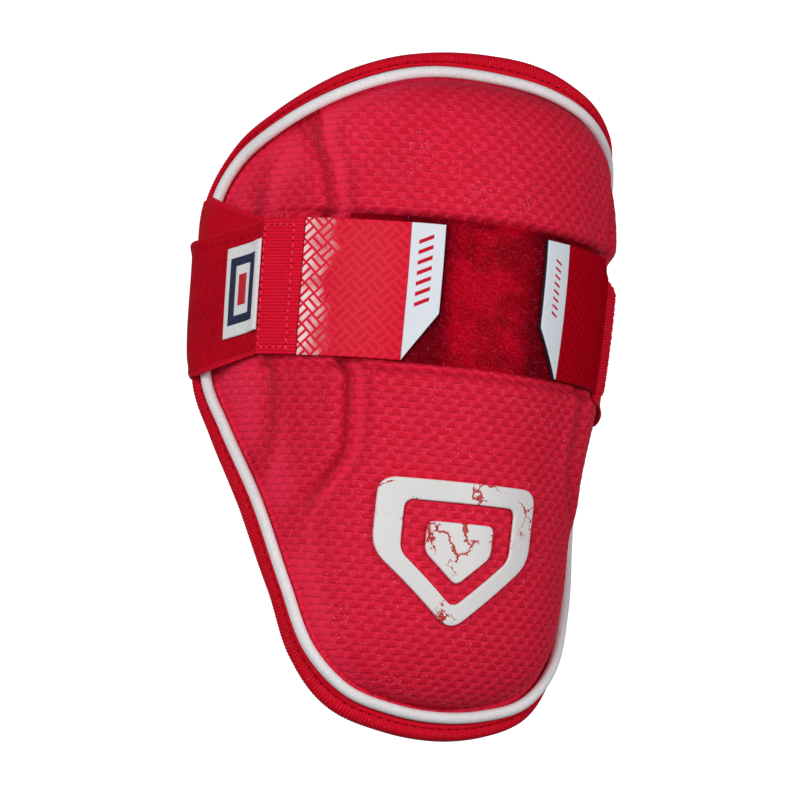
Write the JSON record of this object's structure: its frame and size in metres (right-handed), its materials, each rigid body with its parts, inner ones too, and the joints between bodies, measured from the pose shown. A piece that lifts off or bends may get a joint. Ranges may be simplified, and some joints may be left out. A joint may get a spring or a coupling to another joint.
{
  "type": "elbow guard",
  "caption": "Padded baseball elbow guard with a moulded knit-covered shell, white piping, bound rim and an elastic hook-and-loop strap.",
  "frame": {"origin": "middle of the bounding box on the floor the guard lies on", "axes": "+X across the arm, +Y along the arm towards the wide end, +Z out of the padded face"},
  "size_m": [0.1554, 0.2206, 0.0798],
  "materials": {
    "knit": "raised brick knit over moulded foam",
    "lining_cloth": "brushed mesh",
    "binding_tape": "ribbed tape",
    "piping_cord": "covered cord with a fine glitter",
    "loop_pile": "velour loop",
    "elastic": "satin elastic",
    "grosgrain": "cross-ribbed tape",
    "tab_print_left": "printed film, white tip",
    "tab_print_right": "printed film, white tip",
    "tag_rubber": "matt moulded rubber",
    "badge_rubber": "raised print with fine red cracks"
  },
  "bodies": {
    "root": {"pad_shell": "knit", "lining": "lining_cloth", "binding": "binding_tape", "piping": "piping_cord", "loop_panel": "loop_pile", "tab_left": "tab_print_left", "tab_right": "tab_print_right", "sleeve_left": "grosgrain", "sleeve_right": "grosgrain", "strap": "elastic", "strap_pleat": "elastic", "tag": "tag_rubber", "badge_frame": "badge_rubber", "badge_core": "badge_rubber"}
  },
  "joints": []
}
